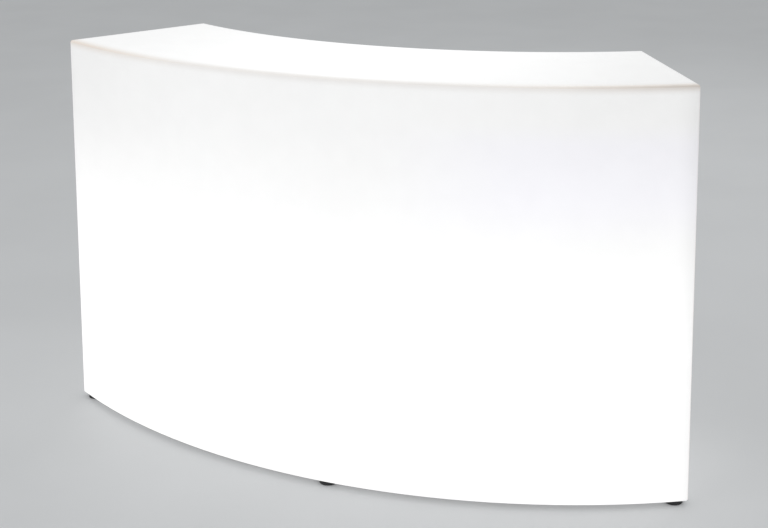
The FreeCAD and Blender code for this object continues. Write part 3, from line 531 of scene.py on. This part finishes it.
def boardFinish(look, side):
    material, tree, shader, place = grained(look["name"] + side.capitalize(), look)
    centre, turn = ports[side]
    local = vectorCalc(tree, "SUBTRACT", place.outputs["Object"], tuple(centre)).outputs[0]
    local = addNode(tree, "VectorRotate", {"Vector": local, "Angle": -turn}).outputs[0]
    inputs = {"Vector": local, "Scale": waveLength / look["pitch"],
              "Distortion": trackLook["wander"], "Detail": trackLook["detail"]}
    wave = addNode(tree, "TexWave", inputs, **look["pattern"])
    track = ease(tree, wave.outputs["Fac"], *trackLook["edge"])
    mask = shader.inputs["Base Color"].links[0].from_socket
    plug(tree, mixTone(tree, track, mask, look["track"]), shader.inputs["Base Color"])
    roughen(tree, shader, track, trackLook["rise"])
    return material


keptNodes = {  # nodes of each light unit that keep their shape
    "collar_": "collarPlastic", "tray_": "trayPlastic", "dome_": "domeDiffuser",
    "battery_holder_": "holderPlastic", "battery_contacts_": "nickelPlate",
    "lamp_leads_": "leadCover", "cap_pin_": "screwSteel", "socket_cap_": "capRubber",
    "tray_seal_": "footRubber", "dome_gasket_": "footRubber", "switch_body_": "fittingPlastic",
    "charge_socket_": "fittingPlastic", "switch_nut_": "nickelPlate", "socket_nut_": "nickelPlate",
}
for side in sides:
    for node, finish in keptNodes.items():
        dress(node + side, finishes[finish])
    for node, look in boardLooks.items():
        dress(node + side, boardFinish(look, side))
dress("foot_inserts", finishes["insertBrass"])
print("light units dressed")


# Levelling feet: a ribbed rubber pad that snaps over the disc of a threaded stem

padSizes = {
    "radius": 24.0, "height": 8.0, "slope": 2.5, "floor": 2.4, "lip": 2.0, "bore": 5.3,
    "discRoom": 7.3, "groove": 0.9, "grooveRadii": (9.0, 14.0, 19.0), "grooveHalf": 0.8,
    "grooveTaper": 0.3, "ribs": 40, "ribDepth": 0.5, "ribRunOut": 0.4, "segments": 160,
    "toeShares": (0.3, 0.4),  # rise and inset half way round the lower edge, of its chamfer
    "shoulderShares": (0.5, 0.3),  # the same for the upper edge, of its slope
}
stemSizes = {
    "disc": 7.0, "discLow": 2.7, "discHigh": 5.7, "discBevel": 0.4, "radius": 4.7, "flats": 17.0,
    "hexLow": 8.3, "hexHigh": 11.7, "hexChamfer": 0.7, "hexRound": 0.2, "neckInset": 0.5,
    "tip": 41.7, "tipChamfer": 1.0, "tipInset": 1.4, "relief": 1.0, "pitch": 1.5,
    "threadDepth": 0.6, "rowsPerTurn": 8, "segments": 48,
}


def footPad():
    size = padSizes
    radius, height, slope, groove = (size[key] for key in ("radius", "height", "slope", "groove"))
    chamfer, shoulder = slope / 2, height - slope
    ledge = height - size["lip"]

    def ribbed(angle):
        return radius - size["ribDepth"] * (0.5 + 0.5 * math.cos(size["ribs"] * angle)) ** 2

    rows = [(0, 0)]
    for middle in size["grooveRadii"]:
        near, far = middle - size["grooveHalf"], middle + size["grooveHalf"]
        taper = size["grooveTaper"]
        rows += [(0, near), (groove, near + taper), (groove, far - taper), (0, far)]
    toeRise, toeInset = (share * chamfer for share in size["toeShares"])
    rows += [(0, radius - chamfer), (toeRise, radius - toeInset), (chamfer, radius)]
    rows += [(chamfer + size["ribRunOut"], ribbed), (shoulder - size["ribRunOut"], ribbed)]
    topRise, topInset = (share * slope for share in size["shoulderShares"])
    rows += [(shoulder, radius), (shoulder + topRise, radius - topInset)]
    rows += [(height, radius - slope), (height, size["bore"]), (ledge, size["bore"])]
    rows += [(ledge, size["discRoom"]), (size["floor"], size["discRoom"]), (size["floor"], 0)]
    return turned(rows, size["segments"])


def footStem():
    size = stemSizes
    radius, pitch, disc, bevel = (size[key] for key in ("radius", "pitch", "disc", "discBevel"))

    def thread(level):  # the thread's flank at a level, cut as a soft V
        def reach(angle):
            phase = (level / pitch - angle / (2 * math.pi)) % 1
            return radius - size["threadDepth"] * (0.5 + 0.5 * math.cos(2 * math.pi * phase))
        return reach

    discLow, discHigh = size["discLow"], size["discHigh"]
    rows = [(discLow, 0), (discLow, disc - bevel), (discLow + bevel, disc)]
    rows += [(discHigh - bevel, disc), (discHigh, disc - bevel), (discHigh, radius)]
    low, high, cut = size["hexLow"], size["hexHigh"], size["hexChamfer"]
    full = hexReach(size["flats"])
    turnedDown = hexReach(size["flats"], size["flats"] / 2 + size["hexRound"])
    rows += [(low, radius), (low, turnedDown), (low + cut, full)]
    rows += [(high - cut, full), (high, turnedDown), (high, radius - size["neckInset"])]
    start, end = high + size["relief"], size["tip"] - size["tipChamfer"]
    count = int((end - start) / pitch * size["rowsPerTurn"])
    levels = [start + (end - start) * at / count for at in range(count + 1)]
    rows += [(level, thread(level)) for level in levels]
    rows += [(size["tip"], radius - size["tipInset"]), (size["tip"], 0)]
    return turned(rows, size["segments"])


padPattern, stemPattern = footPad(), footStem()
stemSharp = 28  # degrees of bend from which an edge is crisp
for name in footNames:
    spot = middleOf("foot_pad_" + name)
    place = Matrix.Translation((spot.x, spot.y, 0))
    pad, stem = [(padPattern, [place], firstFinish)], [(stemPattern, [place], firstFinish)]
    standIn("ribbedPad." + name, pad, "foot_pad_" + name, ["footRubber"])
    standIn("threadedStem." + name, stem, "foot_stem_" + name, ["zincPlate"],
            stemSharp)
print("feet made")


# Screws: pan heads with a drive sunk in them

collarScrewSizes = {"head": 4.0, "rise": 2.6, "shank": 2.1, "length": 12.0, "driveDepth": 1.5,
                    "drive": hexReach(2.6), "segments": 36}
smallScrewSizes = {"head": 2.9, "rise": 2.2, "shank": 1.5, "length": 9.0, "driveDepth": 1.3,
                   "drive": crossReach(1.7, 0.42), "segments": 40}
screwShape = {  # the rows of the head are shares of its rise and its radius
    "headShares": ((0.0, 0.55), (0.05, 0.72), (0.22, 0.9), (0.5, 1.0), (0.96, 1.0), (1.0, 0.98)),
    "driveMouth": 0.12, "pitch": 0.8, "rootShare": 0.88, "tipRise": 0.5, "tipShares": (0.8, 0.4),
}


def screw(size):  # head at the bottom, from zero upwards
    shape = screwShape
    rise, head, shank, drive = (size[key] for key in ("rise", "head", "shank", "drive"))
    rows = [(size["driveDepth"], 0), (size["driveDepth"], drive), (shape["driveMouth"], drive)]
    rows += [(height * rise, reach * head) for height, reach in shape["headShares"]]
    rows += [(rise, shank)]
    half = shape["pitch"] / 2
    for at in range(int(size["length"] / shape["pitch"])):
        level = rise + shape["pitch"] * at + half
        rows += [(level, shape["rootShare"] * shank), (level + half, shank)]
    tip = rise + size["length"]
    wide, narrow = shape["tipShares"]
    rows += [(tip - shape["tipRise"], wide * shank), (tip, narrow * shank), (tip, 0)]
    return turned(rows, size["segments"])


collarScrew, smallScrew = screw(collarScrewSizes), screw(smallScrewSizes)
upsideDown = Matrix.Rotation(math.pi, 4, "X")
ringPlaces = [standOn(box) for box in solidsOf("collar_screws")]
ringScrews = [(collarScrew, ringPlaces, firstFinish)]
standIn("collarScrews", ringScrews, "collar_screws", ["screwSteel"])
for side in sides:
    for kind in ("dome", "tray"):
        node = "%s_screws_%s" % (kind, side)
        places = [standOn(box, upper=True) @ upsideDown for box in solidsOf(node)]
        screws = [(smallScrew, places, firstFinish)]
        standIn(kind + "Screws." + side, screws, node, ["screwSteel"])
print("screws made")


# Light chips: a white case with a phosphor lens

chipSizes = {
    "half": 2.5, "rise": 1.6, "lens": 1.85, "rim": 2.1, "bulge": 0.25, "corner": 9, "bevel": 0.2,
    "footBevel": 0.15, "lensSink": 0.2, "lensShares": (0.8, 0.4), "segments": 32,
}


def lightChip():
    size = chipSizes
    case = squareReach(size["half"], size["corner"])
    slim = squareReach(size["half"] - size["bevel"], size["corner"])
    rise, lens, bevel = size["rise"], size["lens"], size["bevel"]
    level = rise - size["bulge"]
    rows = [(0, 0), (0, slim), (size["footBevel"], case), (level - bevel, case), (level, slim)]
    rows += [(level, size["rim"]), (level - size["lensSink"], lens)]
    wide, narrow = (share * lens for share in size["lensShares"])
    rows += [((level + rise) / 2, wide), (rise, narrow), (rise, 0)]
    return turned(rows, size["segments"])


chipPattern = lightChip()
lensBand = 6  # the bands from here on are the lens
for side in sides:
    spots = [standOn(box) @ portTurns[side] for box in solidsOf("led_chips_" + side)]
    chips = [(chipPattern, spots, lambda band: int(band >= lensBand))]
    standIn("lightChips." + side, chips, "led_chips_" + side,
            ["chipCase", "ledPhosphor"])


# Battery cells: a wrapped can with a bare end and a raised positive button

cellSizes = {
    "radius": 9.3, "length": 65.2, "nub": 3.5, "nubRise": 1.0, "nubBevel": (0.2, 0.3),
    "lapInset": 1.5, "sink": 0.2, "segments": 64,
    "foot": ((0.0, 0.7), (0.25, 0.2), (0.8, 0.0)),  # height above the end, inset from the radius
    "bead": ((-3.2, 0.0), (-2.9, 0.15), (-2.3, 0.15), (-2.0, 0.0)),  # the same from the shoulder
    "shoulder": ((-0.7, 0.0), (-0.2, 0.25), (0.0, 0.8)),
}


def batteryCell():
    size = cellSizes
    radius, half, nub, sink = size["radius"], size["length"] / 2, size["nub"], size["sink"]
    lap, shoulder = radius - size["lapInset"], half - size["nubRise"]
    rows = [(-half + sink, 0), (-half + sink, lap), (-half, lap)]
    rows += [(-half + rise, radius - inset) for rise, inset in size["foot"]]
    rows += [(shoulder + rise, radius - inset) for rise, inset in size["bead"] + size["shoulder"]]
    rows += [(shoulder, lap), (shoulder - sink, lap), (shoulder - sink, nub)]
    bevelRise, bevelInset = size["nubBevel"]
    rows += [(half - bevelRise, nub), (half, nub - bevelInset), (half, 0)]
    return turned(rows, size["segments"])


cellPattern = batteryCell()
wrapBands = range(2, 14)  # from one lap of the wrap to the other
layDown = Matrix.Rotation(math.pi / 2, 4, "Y")
for side in sides:
    boxes = solidsOf("battery_cells_" + side)
    turn = portTurns[side] @ layDown
    spots = [Matrix.Translation((low + high) / 2) @ turn for low, high in boxes]
    cells = [(cellPattern, spots, lambda band: int(band in wrapBands))]
    standIn("batteryCells." + side, cells, "battery_cells_" + side,
            ["nickelPlate", "cellWrap"])
print("chips and cells made")


# What stands on the control board: plugs for the leads, a driver chip and a wound coil

plugSizes = {"across": 2.5, "along": 4.0, "height": 7.0, "seam": 4.2, "inset": 0.35, "bevel": 0.3,
             "corner": 12, "segments": 56}
driverSizes = {"half": 4.5, "body": 3.7, "height": 1.4, "legTop": 0.35, "legPitch": 1.27,
               "legWidth": 0.5, "legMargin": 0.5, "band": 0.35, "bevel": 0.25, "topInset": 0.6,
               "corner": 14, "legCorner": 40, "segments": 144}
coilSizes = {"radius": 5.0, "height": 6.0, "flange": 0.8, "bevel": 0.2, "core": 4.1, "wire": 0.25,
             "turns": 8, "wireShares": (0.25, 0.75), "hole": 1.6, "holeDepth": 0.5,
             "segments": 48}


def leadPlug():
    size = plugSizes
    seam, inset, bevel, top = (size[key] for key in ("seam", "inset", "bevel", "height"))

    def ring(inwards):
        return oblongReach(size["across"] - inwards, size["along"] - inwards, size["corner"])

    rows = [(0, 0), (0, ring(bevel)), (bevel, ring(0)), (seam - bevel, ring(0))]
    rows += [(seam, ring(bevel)), (seam, ring(inset)), (top - bevel, ring(inset))]
    rows += [(top, ring(inset + bevel)), (top, 0)]
    return turned(rows, size["segments"])


def driverChip():
    size = driverSizes
    pitch, legTop, top = size["legPitch"], size["legTop"], size["height"]
    edge = squareReach(size["half"], size["legCorner"])

    def ring(inwards):
        return squareReach(size["body"] - inwards, size["corner"])

    body = ring(0)

    def legs(angle):  # comb teeth along the four sides
        reach = edge(angle)
        along = min(abs(reach * math.cos(angle)), abs(reach * math.sin(angle)))
        onLeg = (along + pitch / 2) % pitch < size["legWidth"]
        return reach if onLeg and along < size["body"] - size["legMargin"] else body(angle)

    rows = [(0, 0), (0, legs), (legTop, legs), (legTop, body), (legTop + size["band"], body)]
    rows += [(top - size["bevel"], ring(size["bevel"])), (top, ring(size["topInset"])), (top, 0)]
    return turned(rows, size["segments"])


def woundCoil():
    size = coilSizes
    rim, core, bevel, top = (size[key] for key in ("radius", "core", "bevel", "height"))
    low, high = size["flange"], top - size["flange"]
    rows = [(0, 0), (0, rim - bevel), (bevel, rim), (low, rim), (low, core)]
    step = (high - low) / size["turns"]
    for at in range(size["turns"]):
        level = low + step * at
        rows += [(level + share * step, core + size["wire"]) for share in size["wireShares"]]
        rows += [(level + step, core)]
    rows += [(high, rim), (top - bevel, rim), (top, rim - bevel), (top, size["hole"])]
    rows += [(top - size["holeDepth"], size["hole"]), (top - size["holeDepth"], 0)]
    return turned(rows, size["segments"])


boardFinishes = ["holderPlastic", "chipCase", "nickelPlate", "coilCopper"]
darkPlastic, whitePlastic, tinned, wound = range(len(boardFinishes))
legBands = range(0, 3)
wireBands = range(4, 4 + 3 * coilSizes["turns"])
boardParts = {  # height, pattern and finish of each kind
    "plug": (plugSizes["height"], leadPlug(), lambda band: whitePlastic),
    "driver": (driverSizes["height"], driverChip(),
               lambda band: tinned if band in legBands else darkPlastic),
    "coil": (coilSizes["height"], woundCoil(),
             lambda band: wound if band in wireBands else darkPlastic),
}
for side in sides:
    spots = {kind: [] for kind in boardParts}
    for box in solidsOf("board_parts_" + side):
        rise = (box[1].z - box[0].z) / mm
        kind = min(boardParts, key=lambda name: abs(boardParts[name][0] - rise))
        spots[kind].append(standOn(box) @ portTurns[side])
    groups = [(pattern, spots[kind], pick) for kind, (height, pattern, pick) in boardParts.items()]
    standIn("boardParts." + side, groups, "board_parts_" + side, boardFinishes)
print("board parts made")


# Push buttons: a dished face inside a raised ring

buttonSizes = {
    "radius": 6.0, "length": 8.5, "crown": 0.8, "dish": 4.0, "dishDepth": 0.6, "bevel": 0.4,
    "dishShares": ((1.0, 0.0), (0.85, 0.5), (0.4, 0.85)),  # of its depth and its radius
    "ring": ((0.05, 0.0), (0.0, 0.35), (0.1, 0.8)),  # height, and reach beyond the dish
    "crownShare": 0.35, "crownInset": 0.5, "segments": 64,
}


def pushButton():
    size = buttonSizes
    radius, dish, length, bevel = (size[key] for key in ("radius", "dish", "length", "bevel"))
    rows = [(depth * size["dishDepth"], reach * dish) for depth, reach in size["dishShares"]]
    rows += [(height, dish + reach) for height, reach in size["ring"]]
    rows += [(size["crownShare"] * size["crown"], radius - size["crownInset"])]
    rows += [(size["crown"], radius), (length - bevel, radius), (length, radius - bevel)]
    rows += [(length, 0)]
    return turned(rows, size["segments"])


buttonPattern = pushButton()
for side in sides:
    place = standOn(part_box("power_button_" + side))
    button = [(buttonPattern, [place], firstFinish)]
    standIn("pushButton." + side, button, "power_button_" + side,
            ["buttonPlastic"])
print("buttons made")


# Stage: a wide pale floor, soft light from large panels, and the camera

floorLook = {"tone": (212, 213, 214), "spread": 0.015, "lump": 0.6, "grain": 6 * mm,
             "gloss": (0.55, 0.7), "depth": 0.05 * mm}
floorSizes = {"half": 60.0, "drop": 0.2 * mm}


def layFloor():
    half, level = floorSizes["half"], -floorSizes["drop"]
    corners = [(x * half, y * half, level) for x, y in ((-1, -1), (1, -1), (1, 1), (-1, 1))]
    mesh = bpy.data.meshes.new("floor")
    mesh.from_pydata(corners, [], [(0, 1, 2, 3)])
    material, tree, shader = grained("paleFloor", floorLook)[:3]
    side = addNode(tree, "NewGeometry", {}).outputs["Backfacing"]  # clear from below
    clear = addNode(tree, "BsdfTransparent", {})
    blend = addNode(tree, "MixShader", {0: side, 1: shader.outputs[0], 2: clear.outputs[0]})
    plug(tree, blend.outputs[0], tree.nodes["Material Output"].inputs["Surface"])
    mesh.materials.append(material)
    floor = bpy.data.objects.new("floor", mesh)
    bpy.context.scene.collection.objects.link(floor)


panels = {  # place, size and power of each light panel, all turned to the counter
    "keyPanel": ((-3.2, -3.4, 4.2), 3.2, 45.0),
    "fillPanel": ((3.8, -2.6, 3.4), 3.2, 20.0),
    "backPanel": ((0.4, 4.2, 4.0), 3.2, 30.0),
}
roomLight = {  # level is how bright the room is near the floor
    "tone": tone(252, 254, 255), "level": 0.424, "overhead": 0.708,
}


def lightStudio():
    aim = Vector((0, 0, counterTop / 2))
    for name, (spot, size, power) in panels.items():
        panel = bpy.data.lights.new(name, "AREA")
        panel.shape = "SQUARE"
        panel.size = size
        panel.energy = power
        lamp = bpy.data.objects.new(name, panel)
        lamp.location = spot
        lamp.rotation_euler = (aim - Vector(spot)).to_track_quat("-Z", "Y").to_euler()
        bpy.context.scene.collection.objects.link(lamp)
    world = bpy.data.worlds.new("room")
    world.use_nodes = True
    tree = world.node_tree
    sky = tree.nodes["Background"]
    sky.inputs["Color"].default_value = roomLight["tone"]
    towards = addNode(tree, "TexCoord", {}).outputs["Generated"]
    rise = addNode(tree, "SeparateXYZ", {0: towards}).outputs["Z"]
    strength = mapRange(tree, rise, 0.0, 1.0, roomLight["level"], roomLight["overhead"])
    plug(tree, strength, sky.inputs["Strength"])
    bpy.context.scene.world = world
    bpy.context.scene.view_settings.view_transform = "Standard"


cameraLook = {  # found by fitting the counter's outline to the photograph, angles in degrees
    "place": (1.2933, -3.1367, 1.7385), "yaw": -21.808, "pitch": -19.825, "roll": -0.357,
    "focalPixels": 1298.43, "imageWidth": 768, "sensor": 36.0,
}


def setCamera():
    look = cameraLook
    yaw, pitch, roll = (math.radians(look[key]) for key in ("yaw", "pitch", "roll"))
    level = math.cos(pitch)
    ahead = Vector((math.sin(yaw) * level, math.cos(yaw) * level, math.sin(pitch)))
    right = Vector((math.cos(yaw), -math.sin(yaw), 0))
    up = right.cross(ahead)
    right = math.cos(roll) * right + math.sin(roll) * up
    up = right.cross(ahead)
    lens = bpy.data.cameras.new("camera")
    lens.sensor_width = look["sensor"]
    lens.lens = look["focalPixels"] / look["imageWidth"] * look["sensor"]
    camera = bpy.data.objects.new("camera", lens)
    turn = Matrix((right, up, -ahead)).transposed().to_4x4()
    camera.matrix_world = Matrix.Translation(look["place"]) @ turn
    bpy.context.scene.collection.objects.link(camera)
    bpy.context.scene.camera = camera


layFloor()
lightStudio()
setCamera()
print("stage set")
